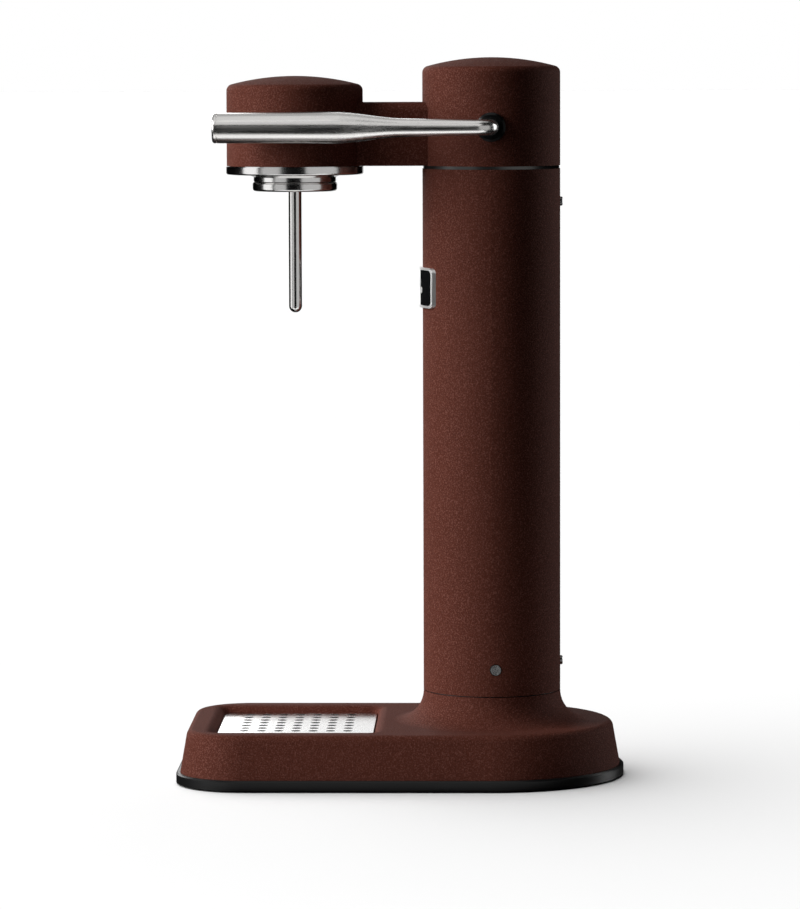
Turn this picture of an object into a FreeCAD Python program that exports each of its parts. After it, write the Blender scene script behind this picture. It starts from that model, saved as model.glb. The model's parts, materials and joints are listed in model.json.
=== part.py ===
import FreeCAD, Part
import math
import os

# Lever-operated soda carbonator: a painted column on a flat base, a head on a short arm in front of it,
# a gas cylinder inside the column and a lever on the +X side.
# Millimetres. The origin is the centre of the footprint on the floor, +Z is up and -Y is the front.

Vec = FreeCAD.Vector
UP = Vec(0, 0, 1)
RIGHT = Vec(1, 0, 0)
LEFT = Vec(-1, 0, 0)
DOWN = Vec(0, 0, -1)
BACK = Vec(0, 1, 0)

# ---- overall sizes ----
WIDTH = 153.0
DEPTH = 258.0
COLUMN_R = 39.7
COLUMN_TOP = 351.8
HEAD_R = 39.3
HEAD_REACH = 113.3
REAR_RIM_RISE = 56.2
FRONT_RIM_RISE = 46.1

# ---- clearances, and how far cutters run past a face ----
FIT = 0.1
SHAFT_FIT = 0.05
LOOSE_FIT = 0.4
CAM_GAP = 0.3
SAME = 0.01
PAST = 1.0

# ---- base ----
CORNER_R = 38.5
FLOOR_GAP = 1.0
FOOT_R = 9.0
FOOT_SUNK = 1.5
SKIRT_TOP = 6.8
SKIRT_FLOOR = 2.8
SKIRT_RIM = 6.0
SKIRT_BEVEL = 0.8
LEDGE = 2.3
WALL_LEAN = 10.0
SHELL_WALL = 2.5
TOP_EDGE_R = 4.0
FLARE_R = 17.6
NECK_TOP = 49.4
NECK_GAP = 0.6
CYLINDER_GAP = 3.0
BASE_SCREW_INSET = 15.0
BASE_SCREW_AHEAD = 42.5
BASE_SCREW_TURN = 60.0
FOOT_INSET = 24.5
FOOT_BACK = 9.5

# ---- drip tray ----
TRAY_SIDE_MARGIN = 24.5
TRAY_FRONT_MARGIN = 21.5
TRAY_REAR_MARGIN = 10.5
TRAY_CORNER_R = 4.0
TRAY_WALL = 3.5
TRAY_LIP_R = 6.0
TRAY_FLOOR = 12.0
GRILLE_DROP = 4.0
GRILLE_THICK = 1.4
GRILLE_HEM = 6.0
GRILLE_HEM_WALL = 1.0
GRILLE_EDGE_R = 0.5
GRILLE_BORDER_X = 7.5
GRILLE_BORDER_Y = 14.5
GRILLE_PITCH_Y = 10.0
GRILLE_PITCH_X = 11.0
GRILLE_HOLE_R = 2.7
PAN_WALL = 1.5

# ---- column ----
TUBE_WALL = 1.2
RING_WALL = 4.2
NECK_RING_RISE = 35.0
NECK_FLANGE = 5.0
NECK_FLANGE_THICK = 2.5
GUIDE_DROP = 111.8
GUIDE_HEIGHT = 14.0
GUIDE_FIT = 0.6
SEAM_HEIGHT = 1.8
SEAM_INSET = 0.5
SEAM_WALL = 2.0
SIDE_SCREW_RISE = 16.0
SIDE_SCREW_BACK = 2.3
SIDE_SCREW_R = 3.0
SIDE_SCREW_SOCKET = 3.0
REAR_SCREW_RISE = 17.0
REAR_SCREW_R = 2.65
REAR_SCREW_PROUD = 1.4
REAR_SCREW_EDGE_R = 0.8
REAR_SCREW_DROP = 19.0

# ---- badge ----
BADGE_DROP = 79.8
BADGE_HEIGHT = 23.0
BADGE_HALF_WIDTH = 23.8
BADGE_PROUD = 1.8
BADGE_RIM = 1.3
BADGE_CORNER_R = 3.0
BADGE_PLATE_PROUD = 1.3
MOTIF_PROUD = 0.2
MOTIF_BUBBLES = ((-7.0, -2.0, 4.0), (1.5, 2.5, 2.8), (8.0, -1.5, 1.8))

# ---- head shells ----
CAP_WALL = 1.5
REAR_DOME_RISE = 5.8
FRONT_DOME_RISE = 5.5
CAP_EDGE_R = 4.0
ARM_HALF_WIDTH = 16.0
ARM_HEIGHT = 36.4
ARM_WALL = 1.4
ARM_EDGE_R = 5.0
ARM_FOOT_R = 1.0
ARM_DOOR_HALF_WIDTH = 13.0
ARM_DOOR_HEIGHT = 33.0
ARM_SCREW_HALF_PITCH = 8.0
POST_R = 4.0
POST_RIB = 4.0
REAR_POST_INSET = 9.7
REAR_POST_ANGLES = (55.0, 125.0, 235.0, 305.0)
FRONT_POST_INSET = 11.3
FRONT_POST_ANGLES = (30.0, 150.0, 210.0, 330.0)

# ---- head frame ----
FRAME_THICK = 6.0
FRAME_BEAM_HALF_WIDTH = 11.0
SPIGOT_DEPTH = 22.0
SPIGOT_WALL = 2.7

# ---- head underside ----
TRIM_PROUD = 0.3
TRIM_DROP = 5.0
TRIM_GAP = 0.5
TRIM_EDGE_R = 1.2
TRIM_INSET = 2.8
TRIM_SPIGOT_RISE = 4.4
DISH_R = 36.4
DISH_EDGE_DROP = 3.7
DISH_NECK_DROP = 6.6
DISH_NECK_R = 23.8
DISH_SAG = 1.0
DISH_WALL = 1.6
COLLAR_R = 24.4
COLLAR_TOP_DROP = 9.1
COLLAR_DROP = 14.6
COLLAR_EDGE_R = 1.6
COLLAR_SPIGOT_R = 21.4
SOCKET_R = 17.5
SEAL_THICK = 3.0
THREAD_DEPTH = 0.9
THREAD_PITCH = 4.0
THREAD_TURNS = 2
THREAD_START = 2.0
THREAD_ROOT = 0.5
THREAD_FLANK = 0.6
COLLAR_SCREW_R = 1.4
COLLAR_SCREW_GRIP = 6.0
COLLAR_SCREW_DEPTH = 8.0

# ---- nozzle and relief valve ----
NOZZLE_R = 3.75
NOZZLE_BORE_R = 1.2
NOZZLE_DROP = 84.8
ORIFICE_R = 0.7
ORIFICE_RISE = 2.4
HOLDER_R = 8.2
HOLDER_FLANGE_R = 13.0
HOLDER_FLANGE_THICK = 3.0
HOLDER_TOP_R = 9.0
HOLDER_RISE = 15.0
HOLDER_DROP = 6.0
ORING_WIRE_R = 0.9
RELIEF_R = 6.5
RELIEF_BORE_R = 4.6
RELIEF_HEIGHT = 18.0
RELIEF_SEAT = 2.0
RELIEF_SEAT_R = 1.2
POPPET_HEAD = 4.0
POPPET_STEM_R = 1.5
POPPET_STEM = 6.0
RELIEF_CAP_THICK = 3.0
RELIEF_BRIM = 1.0
RELIEF_VENT_RISE = 2.0
RELIEF_SPRING_R = 3.0
RELIEF_WIRE_R = 0.45
RELIEF_TURNS = 4

# ---- gas cylinder ----
CYLINDER_R = 30.0
CYLINDER_WALL = 3.0
CYLINDER_BOTTOM = 5.0
CYLINDER_FOOT_R = 5.0
CYLINDER_NECK_R = 13.0
CYLINDER_NECK = 7.0
VALVE_THREAD_R = 10.5
VALVE_THREAD = 20.0
VALVE_SHOULDER = 8.0
VALVE_ROOT_R = 9.0
VALVE_ROOT = 13.0
VALVE_BORE_R = 2.0
VALVE_BORE = 15.0
VALVE_RECESS_R = 4.0
VALVE_RECESS = 3.0
VALVE_PIN_SUNK = 0.6
VALVE_PIN = 12.0
VALVE_SEAL = 2.0

# ---- valve block ----
BLOCK_R = 18.0
BLOCK_DROP = 17.0
BLOCK_FLANGE_R = 22.0
BLOCK_FLANGE_THICK = 4.8
OUTLET_HALF_WIDTH = 6.0
OUTLET_HEIGHT = 10.0
OUTLET_DEPTH = 9.0
GAS_BORE_R = 1.5
BLOCK_SCREW_PITCH_R = 19.0
HOSE_R = 3.0
HOSE_BORE_R = 1.5
HOSE_RISE = 6.5
FITTING_LENGTH = 8.0
FITTING_ACROSS = 9.0
PIN_HEAD_R = 5.5
PIN_HEAD = 2.0
PIN_R = 2.5
PIN_SPRING_POCKET_R = 6.2
PIN_SPRING_POCKET = 7.8
PIN_SPRING_R = 4.4
PIN_WIRE_R = 0.5
PIN_SPRING_TURNS = 3.5

# ---- lever ----
LEVER_RISE = 22.4
LEVER_STANDOFF = 10.8
LEVER_FRONT_REACH = 157.7
LEVER_CAP = 2.4
LEVER_CAP_GROOVE = 0.4
LEVER_EDGE_R = 1.5
LEVER_BEND_R = 9.0
LEVER_FRONT_R = 8.65
LEVER_GRIP_R = 9.05
LEVER_WAIST_R = 5.2
LEVER_GRIP_END = 90.0
LEVER_WAIST = 48.0
LEVER_CAP_SPIGOT_R = 7.45
SHAFT_R = 4.5
SHAFT_GROOVE_R = 4.0
SHAFT_TAIL = 4.0
BUSH_R = 8.3
BUSH_BARREL_R = 6.0
BUSH_PROUD = 1.7
BUSH_BEVEL = 1.2
BUSH_DEPTH = 8.0
BEARING_X = 23.0
BEARING_THICK = 6.0
BEARING_HALF_WIDTH = 8.0
BEARING_FOOT_HALF = 16.0
BEARING_FOOT_THICK = 4.0
BEARING_SCREW_Y = 12.3
CAM_HALF_THICK = 4.0
CAM_BASE_R = 7.0
CAM_LIFT_PER_RADIAN = 3.0
CAM_ACTIVE_ANGLE = 53.0
CAM_POINTS = 9
HUB_R = 6.5
HUB_LENGTH = 7.0
DOG_HALF_WIDTH = 2.0
DOG_REACH = 12.5
DOG_OFFSET = 2.0
STOP_PIN_R = 1.5
STOP_PITCH_R = 10.0
STOP_PIN_OFFSET = 1.0
LEVER_TRAVEL = 50.0
CIRCLIP_THICK = 1.0
CIRCLIP_R = 6.5
CIRCLIP_MOUTH_HALF = 2.0
SET_SCREW_PROUD = 0.5
RETURN_SPRING_R = 6.6
RETURN_WIRE_R = 0.7
RETURN_TURNS = 5
RETURN_SPRING_OFFSET = 2.0

# ---- screws ----
M3_R = 1.5
M3_HEAD_R = 2.75
M3_HEAD = 2.0
HEX_SOCKET = 2.0
KEY_DEPTH_SHARE = 0.6
FLAT_KEY_SHARE = 0.7
SCREW_SHORT = 1.0
BASE_BOSS_R = 4.0
BASE_SCREW = 11.0
BASE_SCREW_HEAD = 1.6

# ---- places worked out from the sizes above ----
column_y = DEPTH / 2 - WIDTH / 2
head_y = column_y - HEAD_REACH
front_y = -DEPTH / 2
roof_z = NECK_TOP - FLARE_R
tube_bottom = NECK_TOP + NECK_GAP
tube_inner_r = COLUMN_R - TUBE_WALL
ring_r = tube_inner_r - FIT
tray_y = head_y
tray_front_half = tray_y - front_y - TRAY_FRONT_MARGIN
tray_rear_half = column_y - COLUMN_R - FLARE_R - TRAY_REAR_MARGIN - tray_y
tray_size_x = WIDTH - 2 * TRAY_SIDE_MARGIN
tray_size_y = 2 * min(tray_front_half, tray_rear_half)
grille_top = roof_z - GRILLE_DROP
grille_bottom = grille_top - GRILLE_THICK
skirt_floor_top = FLOOR_GAP + SKIRT_FLOOR
head_z = COLUMN_TOP + SEAM_HEIGHT
frame_z = head_z + ARM_WALL
frame_top = frame_z + FRAME_THICK
lever_z = head_z + LEVER_RISE
lever_x = COLUMN_R + LEVER_STANDOFF
bush_face_x = COLUMN_R + BUSH_PROUD
shaft_end_x = -BEARING_X - BEARING_THICK - SHAFT_TAIL
nozzle_tip_z = head_z - NOZZLE_DROP
badge_z = COLUMN_TOP - BADGE_DROP
guide_z = COLUMN_TOP - GUIDE_DROP
passage_r = CYLINDER_R + CYLINDER_GAP
rear_post_pitch_r = COLUMN_R - REAR_POST_INSET
front_post_pitch_r = HEAD_R - FRONT_POST_INSET
rear_cap_rim = head_z + REAR_RIM_RISE
front_cap_rim = head_z + FRONT_RIM_RISE
seal_z = frame_z
valve_top = seal_z - VALVE_SEAL
valve_shoulder_z = valve_top - VALVE_THREAD
cylinder_top = valve_shoulder_z - VALVE_SHOULDER
block_top = frame_top + BLOCK_FLANGE_THICK
hose_z = frame_top + HOSE_RISE
outlet_y = column_y - BLOCK_FLANGE_R
holder_port_y = head_y + HOLDER_TOP_R + OUTLET_DEPTH / 2
pin_top = lever_z - CAM_BASE_R - CAM_GAP
pin_bottom = valve_top - VALVE_PIN_SUNK + CAM_GAP
holder_top = frame_top + HOLDER_RISE
base_screw_x = WIDTH / 2 - BASE_SCREW_INSET
rear_screw_x = base_screw_x * math.cos(math.radians(BASE_SCREW_TURN))
rear_screw_y = column_y + base_screw_x * math.sin(math.radians(BASE_SCREW_TURN))
middle_screw_y = column_y - BASE_SCREW_AHEAD
base_screw_places = ((base_screw_x, head_y), (-base_screw_x, head_y),
                     (base_screw_x, middle_screw_y), (-base_screw_x, middle_screw_y),
                     (rear_screw_x, rear_screw_y), (-rear_screw_x, rear_screw_y),
                     (0, front_y + BASE_SCREW_INSET))
foot_x = WIDTH / 2 - FOOT_INSET
foot_places = ((foot_x, front_y + FOOT_INSET), (-foot_x, front_y + FOOT_INSET),
               (foot_x, column_y + FOOT_BACK), (-foot_x, column_y + FOOT_BACK), (0, column_y + foot_x))


# ---- helpers ----
def block(x0, x1, y0, y1, z0, z1):
    return Part.makeBox(x1 - x0, y1 - y0, z1 - z0, Vec(x0, y0, z0))


def rod(radius, start, direction, length):
    return Part.makeCylinder(radius, length, start, direction)


def post(radius, x, y, z0, z1):
    return rod(radius, Vec(x, y, z0), UP, z1 - z0)


def ring(outer, inner, y, z0, z1):
    return post(outer, 0, y, z0, z1).cut(post(inner, 0, y, z0 - PAST, z1 + PAST))


def line(a, b):
    return Part.LineSegment(a, b).toShape()


def arc(a, middle, b):
    return Part.Arc(a, middle, b).toShape()


def polygon(points):
    return Part.makePolygon(list(points) + [points[0]])


def lathe(points, y):
    """Turn a closed outline of (radius, height) points about the vertical line at y."""
    outline = polygon([Vec(r, y, z) for r, z in points])
    return Part.Face(outline).revolve(Vec(0, y, 0), UP, 360)


def rounded(shape, radius, chosen):
    """Round the edges that the test picks by their bounding box."""
    edges = [edge for edge in shape.Edges if chosen(edge.BoundBox)]
    return shape.makeFillet(radius, edges)


def level_at(z):
    """Pick edges that lie flat at height z."""
    return lambda box: abs(box.ZMin - z) < SAME and abs(box.ZMax - z) < SAME


def along_y_at(z):
    """Pick straight edges that run from front to back at height z."""
    return lambda box: box.XMax - box.XMin < SAME and level_at(z)(box)


def polar(radius, angle, y):
    turn = math.radians(angle)
    return radius * math.cos(turn), y + radius * math.sin(turn)


def coil(radius, wire_r, pitch, height, start, axis):
    """Helical spring whose wire centre line starts at the given point's height."""
    helix = Part.makeHelix(pitch, height, radius)
    lead = Vec(0, 1, pitch / (2 * math.pi * radius))
    section = Part.Wire(Part.makeCircle(wire_r, Vec(radius, 0, 0), lead))
    spring = Part.Wire(helix).makePipeShell([section], True, True)
    spring.Placement = FreeCAD.Placement(start, FreeCAD.Rotation(UP, axis))
    return spring


def cap_screw(place, direction, length, head_r=M3_HEAD_R, head=M3_HEAD, shank_r=M3_R, socket=HEX_SOCKET):
    """Screw with a round head on the side away from direction, and a six-sided socket."""
    away = Vec(direction).multiply(-1)
    screw = rod(head_r, place, away, head).fuse(rod(shank_r, place, direction, length))
    depth = head * KEY_DEPTH_SHARE
    key = hexagon(socket, depth + PAST)
    key.Placement = FreeCAD.Placement(place.add(Vec(away).multiply(head - depth)), FreeCAD.Rotation(UP, away))
    return screw.cut(key)


def flat_screw(place, direction, length, head_depth=ARM_WALL):
    """Countersunk screw with its head's flat face at place."""
    head = Part.makeCone(M3_HEAD_R, M3_R, head_depth, place, direction)
    screw = head.fuse(rod(M3_R, place, direction, length))
    key = hexagon(HEX_SOCKET, head_depth)
    away = Vec(direction).multiply(-1)
    bottom = place.sub(Vec(away).multiply(head_depth * FLAT_KEY_SHARE))
    key.Placement = FreeCAD.Placement(bottom, FreeCAD.Rotation(UP, away))
    return screw.cut(key)


def flat_screw_hole(place, direction, length, head_depth=ARM_WALL):
    head = Part.makeCone(M3_HEAD_R + FIT, M3_R + FIT, head_depth + FIT, place, direction)
    return head.fuse(rod(M3_R + SHAFT_FIT, place, direction, length))


def hexagon(across, height):
    corner = across / math.sqrt(3)
    points = [Vec(*polar(corner, 60 * i, 0), 0) for i in range(6)]
    return Part.Face(polygon(points)).extrude(Vec(0, 0, height))


def rounded_block(size_x, size_y, corner_r, y, z0, z1):
    """Upright block centred on x = 0 and the given y, with round corners in plan."""
    solid = block(-size_x / 2, size_x / 2, y - size_y / 2, y + size_y / 2, z0, z1)
    return rounded(solid, corner_r, lambda box: box.XMax - box.XMin < SAME and box.YMax - box.YMin < SAME)


def footprint(inset, z):
    """Outline of the base at a height: a half circle behind, straight sides and round front corners."""
    half = WIDTH / 2 - inset
    corner = CORNER_R - inset
    front = front_y + inset
    straight = WIDTH / 2 - CORNER_R
    side_y = front_y + CORNER_R
    lean = corner * math.sqrt(0.5)
    rear = arc(Vec(half, column_y, z), Vec(0, column_y + half, z), Vec(-half, column_y, z))
    left = line(Vec(-half, column_y, z), Vec(-half, side_y, z))
    left_corner = arc(Vec(-half, side_y, z), Vec(-straight - lean, side_y - lean, z),
                      Vec(-straight, front, z))
    nose = line(Vec(-straight, front, z), Vec(straight, front, z))
    right_corner = arc(Vec(straight, front, z), Vec(straight + lean, side_y - lean, z), Vec(half, side_y, z))
    right = line(Vec(half, side_y, z), Vec(half, column_y, z))
    return Part.Wire([rear, left, left_corner, nose, right_corner, right])


def footprint_block(inset, z0, z1):
    return Part.Face(footprint(inset, z0)).extrude(Vec(0, 0, z1 - z0))


def leaning_block(inset, z0, z1):
    """Footprint block whose walls lean inwards as they rise."""
    top_inset = inset + (z1 - z0) * math.tan(math.radians(WALL_LEAN))
    return Part.makeLoft([footprint(inset, z0), footprint(top_inset, z1)], True, True)


def in_tray_mouth(box):
    """Pick the edges round the top of the drip pocket."""
    inside_x = max(abs(box.XMin), abs(box.XMax)) < tray_size_x / 2 + FIT
    inside_y = max(abs(box.YMin - tray_y), abs(box.YMax - tray_y)) < tray_size_y / 2 + FIT
    return level_at(roof_z)(box) and inside_x and inside_y


# ---- base ----
def make_base_shell():
    outside = leaning_block(LEDGE, SKIRT_TOP, roof_z)
    outside = rounded(outside, TOP_EDGE_R, level_at(roof_z))
    foot = COLUMN_R + FLARE_R
    lean = FLARE_R * math.sqrt(0.5)
    low = Vec(0, column_y, SKIRT_TOP + SHELL_WALL)
    corner = Vec(foot, column_y, low.z)
    start = Vec(foot, column_y, roof_z)
    middle = Vec(foot - lean, column_y, NECK_TOP - lean)
    end = Vec(COLUMN_R, column_y, NECK_TOP)
    top = Vec(0, column_y, NECK_TOP)
    profile = Part.Wire([line(low, corner), line(corner, start), arc(start, middle, end), line(end, top),
                         line(top, low)])
    flare = Part.Face(profile).revolve(Vec(0, column_y, 0), UP, 360)
    hollow = leaning_block(LEDGE + SHELL_WALL, SKIRT_TOP, roof_z - SHELL_WALL)
    well = rounded_block(tray_size_x + 2 * TRAY_WALL, tray_size_y + 2 * TRAY_WALL, TRAY_CORNER_R + TRAY_WALL,
                         tray_y, TRAY_FLOOR - TRAY_WALL, roof_z - SHELL_WALL / 2)
    pocket = rounded_block(tray_size_x, tray_size_y, TRAY_CORNER_R, tray_y, TRAY_FLOOR, roof_z + PAST)
    shell = outside.fuse(flare).cut(hollow)
    shell = shell.cut(post(tube_inner_r, 0, column_y, 0, NECK_TOP + PAST)).fuse(well)
    for x, y in base_screw_places:
        shell = shell.fuse(post(BASE_BOSS_R, x, y, skirt_floor_top, roof_z - SHELL_WALL / 2))
    shell = shell.cut(pocket).removeSplitter()
    shell = rounded(shell, TRAY_LIP_R, in_tray_mouth)
    for x, y in base_screw_places:
        shell = shell.cut(post(M3_R + SHAFT_FIT, x, y, 0, FLOOR_GAP + BASE_SCREW_HEAD + BASE_SCREW + PAST))
    return shell


def make_base_skirt():
    skirt = footprint_block(0, FLOOR_GAP, SKIRT_TOP)
    skirt = skirt.makeChamfer(SKIRT_BEVEL, [e for e in skirt.Edges if level_at(SKIRT_TOP)(e.BoundBox)])
    skirt = skirt.cut(footprint_block(SKIRT_RIM, skirt_floor_top, SKIRT_TOP + PAST))
    skirt = skirt.cut(post(passage_r, 0, column_y, 0, SKIRT_TOP))
    for x, y in foot_places:
        skirt = skirt.cut(post(FOOT_R + FIT, x, y, 0, FLOOR_GAP + FOOT_SUNK))
    for x, y in base_screw_places:
        skirt = skirt.cut(post(M3_HEAD_R + LOOSE_FIT, x, y, 0, FLOOR_GAP + BASE_SCREW_HEAD))
        skirt = skirt.cut(post(M3_R + FIT, x, y, 0, SKIRT_TOP))
    return skirt


def make_rubber_feet():
    return Part.Compound([post(FOOT_R, x, y, 0, FLOOR_GAP + FOOT_SUNK) for x, y in foot_places])


def make_base_screws():
    head_z0 = FLOOR_GAP + BASE_SCREW_HEAD
    return Part.Compound([cap_screw(Vec(x, y, head_z0), UP, BASE_SCREW, head=BASE_SCREW_HEAD - FIT)
                          for x, y in base_screw_places])


def make_drip_pan():
    size_x = tray_size_x - 2 * LOOSE_FIT
    size_y = tray_size_y - 2 * LOOSE_FIT
    corner = TRAY_CORNER_R - LOOSE_FIT
    pan = rounded_block(size_x, size_y, corner, tray_y, TRAY_FLOOR, grille_bottom)
    inside = rounded_block(size_x - 2 * PAN_WALL, size_y - 2 * PAN_WALL, corner - PAN_WALL,
                           tray_y, TRAY_FLOOR + PAN_WALL, grille_bottom + PAST)
    return pan.cut(inside)


def make_drip_grille():
    size_x = tray_size_x - 2 * LOOSE_FIT
    size_y = tray_size_y - 2 * LOOSE_FIT
    corner = TRAY_CORNER_R - LOOSE_FIT
    plate = rounded_block(size_x, size_y, corner, tray_y, grille_bottom, grille_top)
    plate = rounded(plate, GRILLE_EDGE_R, level_at(grille_top))
    inset = 2 * (PAN_WALL + LOOSE_FIT)
    hem_corner = corner - PAN_WALL - LOOSE_FIT
    hem_low = grille_bottom - GRILLE_HEM
    hem = rounded_block(size_x - inset, size_y - inset, hem_corner, tray_y, hem_low, grille_bottom)
    hem_inner_corner = hem_corner - GRILLE_HEM_WALL
    gap = rounded_block(size_x - inset - 2 * GRILLE_HEM_WALL, size_y - inset - 2 * GRILLE_HEM_WALL,
                        hem_inner_corner, tray_y, hem_low - PAST, grille_bottom)
    grille = plate.fuse(hem.cut(gap))
    gaps_x = int((size_x - 2 * GRILLE_BORDER_X) / GRILLE_PITCH_X)
    gaps_y = int((size_y - 2 * GRILLE_BORDER_Y) / GRILLE_PITCH_Y)
    first_x = -GRILLE_PITCH_X * gaps_x / 2
    first_y = tray_y - GRILLE_PITCH_Y * gaps_y / 2
    holes = [post(GRILLE_HOLE_R, first_x + GRILLE_PITCH_X * i, first_y + GRILLE_PITCH_Y * j,
                  grille_bottom - PAST, grille_top + PAST)
             for i in range(gaps_x + 1) for j in range(gaps_y + 1)]
    return grille.cut(Part.Compound(holes))


# ---- column ----
def rear_screw_heights():
    return NECK_TOP + REAR_SCREW_RISE, COLUMN_TOP - REAR_SCREW_DROP


def screw_holes(radius_rear, radius_side):
    """Cutters for the screws that enter the column from behind and from both sides."""
    side_z = NECK_TOP + SIDE_SCREW_RISE
    reach = COLUMN_R + PAST
    cutters = [rod(radius_rear, Vec(0, column_y, z), BACK, reach) for z in rear_screw_heights()]
    cutters.append(rod(radius_side, Vec(-reach, column_y + SIDE_SCREW_BACK, side_z), RIGHT, 2 * reach))
    return Part.Compound(cutters)


def make_column_tube():
    tube = ring(COLUMN_R, tube_inner_r, column_y, tube_bottom, COLUMN_TOP)
    return tube.cut(screw_holes(M3_R + FIT, SIDE_SCREW_R + LOOSE_FIT))


def make_neck_ring():
    top = tube_bottom + NECK_RING_RISE
    inner = ring_r - RING_WALL
    body = ring(ring_r, inner, column_y, skirt_floor_top, top)
    flange_top = roof_z - SHELL_WALL
    flange = ring(ring_r + NECK_FLANGE, inner, column_y, flange_top - NECK_FLANGE_THICK, flange_top)
    return body.fuse(flange).cut(screw_holes(M3_R + SHAFT_FIT, M3_R + SHAFT_FIT))


def make_side_screws():
    z = NECK_TOP + SIDE_SCREW_RISE
    y = column_y + SIDE_SCREW_BACK
    seat = ring_r
    head = COLUMN_R - ring_r + FIT
    screws = [cap_screw(Vec(side * seat, y, z), Vec(-side, 0, 0), RING_WALL - FIT, SIDE_SCREW_R, head,
                        socket=SIDE_SCREW_SOCKET) for side in (-1, 1)]
    return Part.Compound(screws)


def make_rear_screws():
    screws = []
    for z in rear_screw_heights():
        screw = cap_screw(Vec(0, column_y + COLUMN_R, z), Vec(0, -1, 0), TUBE_WALL + FIT + RING_WALL / 2,
                          REAR_SCREW_R, REAR_SCREW_PROUD)
        face_y = column_y + COLUMN_R + REAR_SCREW_PROUD
        edges = [e for e in screw.Edges if abs(e.BoundBox.YMin - face_y) < SAME
                 and e.BoundBox.ZMax - e.BoundBox.ZMin > 2 * REAR_SCREW_R - FIT]
        screws.append(screw.makeFillet(REAR_SCREW_EDGE_R, edges))
    return Part.Compound(screws)


def make_cylinder_guide():
    return ring(ring_r, CYLINDER_R + GUIDE_FIT, column_y, guide_z, guide_z + GUIDE_HEIGHT)


def make_seam_ring():
    outer = COLUMN_R - SEAM_INSET
    return ring(outer, outer - SEAM_WALL, column_y, COLUMN_TOP, head_z)


# ---- badge ----
def badge_window(margin):
    """Upright block with round corners that cuts the badge's outline out of a ring round the column."""
    corner = BADGE_CORNER_R - margin / 2
    far = column_y - COLUMN_R - 2 * BADGE_PROUD
    half = BADGE_HALF_WIDTH - margin
    top = badge_z + BADGE_HEIGHT - margin
    solid = block(-half, half, far, column_y - COLUMN_R / 2, badge_z + margin, top)
    return rounded(solid, corner, lambda box: box.XMax - box.XMin < SAME and box.ZMax - box.ZMin < SAME)


def badge_band(inner, outer):
    return ring(outer, inner, column_y, badge_z - PAST, badge_z + BADGE_HEIGHT + PAST)


def make_badge_frame():
    band = badge_band(COLUMN_R, COLUMN_R + BADGE_PROUD)
    return band.common(badge_window(0)).cut(badge_window(BADGE_RIM))


def make_badge_plate():
    band = badge_band(COLUMN_R, COLUMN_R + BADGE_PLATE_PROUD)
    return band.common(badge_window(BADGE_RIM + SHAFT_FIT))


def make_badge_motif():
    inner = COLUMN_R + BADGE_PLATE_PROUD
    band = badge_band(inner, inner + MOTIF_PROUD)
    middle = badge_z + BADGE_HEIGHT / 2
    far = column_y - COLUMN_R - 2 * BADGE_PROUD
    bubbles = [band.common(rod(r, Vec(x, far, middle + z), BACK, COLUMN_R / 2))
               for x, z, r in MOTIF_BUBBLES]
    return Part.Compound(bubbles)


# ---- head ----
def domed_can(radius, y, z0, rim, rise):
    """Solid can with a shallow domed top."""
    low = Vec(0, y, z0)
    foot = Vec(radius, y, z0)
    edge = Vec(radius, y, rim)
    apex = Vec(0, y, rim + rise)
    dome_r = (radius ** 2 + rise ** 2) / (2 * rise)
    half = radius / 2
    middle = Vec(half, y, rim + rise - dome_r + math.sqrt(dome_r ** 2 - half ** 2))
    profile = Part.Wire([line(low, foot), line(foot, edge), arc(edge, middle, apex), line(apex, low)])
    return Part.Face(profile).revolve(Vec(0, y, 0), UP, 360)


def make_cap(radius, y, rim, rise, post_pitch_r, angles):
    """Drawn shell with welded posts that its screws pull down on the head frame."""
    outside = domed_can(radius, y, head_z, rim, rise)
    outside = rounded(outside, CAP_EDGE_R, level_at(rim))
    inner_r = radius - CAP_WALL
    inside = domed_can(inner_r, y, head_z - PAST, rim - CAP_WALL, rise)
    inside = rounded(inside, CAP_EDGE_R - CAP_WALL, level_at(rim - CAP_WALL))
    cap = outside.cut(inside)
    for angle in angles:
        x, post_y = polar(post_pitch_r, angle, y)
        rib = block(post_pitch_r, inner_r + CAP_WALL / 2, y - POST_RIB / 2, y + POST_RIB / 2,
                    frame_top, rim + rise)
        rib.rotate(Vec(0, y, 0), UP, angle)
        support = post(POST_R, x, post_y, frame_top, rim + rise).fuse(rib)
        hole = rod(M3_R + SHAFT_FIT, Vec(x, post_y, frame_top - PAST), UP, 2 * FRAME_THICK)
        cap = cap.fuse(support.common(outside)).cut(hole)
    return cap


def arm_door():
    """Opening in both caps where the arm's inside joins them."""
    return block(-ARM_DOOR_HALF_WIDTH, ARM_DOOR_HALF_WIDTH, head_y + HEAD_R / 2, column_y - COLUMN_R / 2,
                 head_z - PAST, head_z + ARM_DOOR_HEIGHT)


def make_rear_cap():
    cap = make_cap(COLUMN_R, column_y, rear_cap_rim, REAR_DOME_RISE, rear_post_pitch_r, REAR_POST_ANGLES)
    bush_hole = rod(BUSH_BARREL_R + SHAFT_FIT, Vec(0, column_y, lever_z), RIGHT, COLUMN_R + PAST)
    return cap.cut(arm_door()).cut(bush_hole)


def make_front_cap():
    cap = make_cap(HEAD_R, head_y, front_cap_rim, FRONT_DOME_RISE, front_post_pitch_r, FRONT_POST_ANGLES)
    return cap.cut(arm_door())


def arm_screw_places():
    middle = (head_y + HEAD_R + column_y - COLUMN_R) / 2
    return middle - ARM_SCREW_HALF_PITCH, middle + ARM_SCREW_HALF_PITCH


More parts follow.
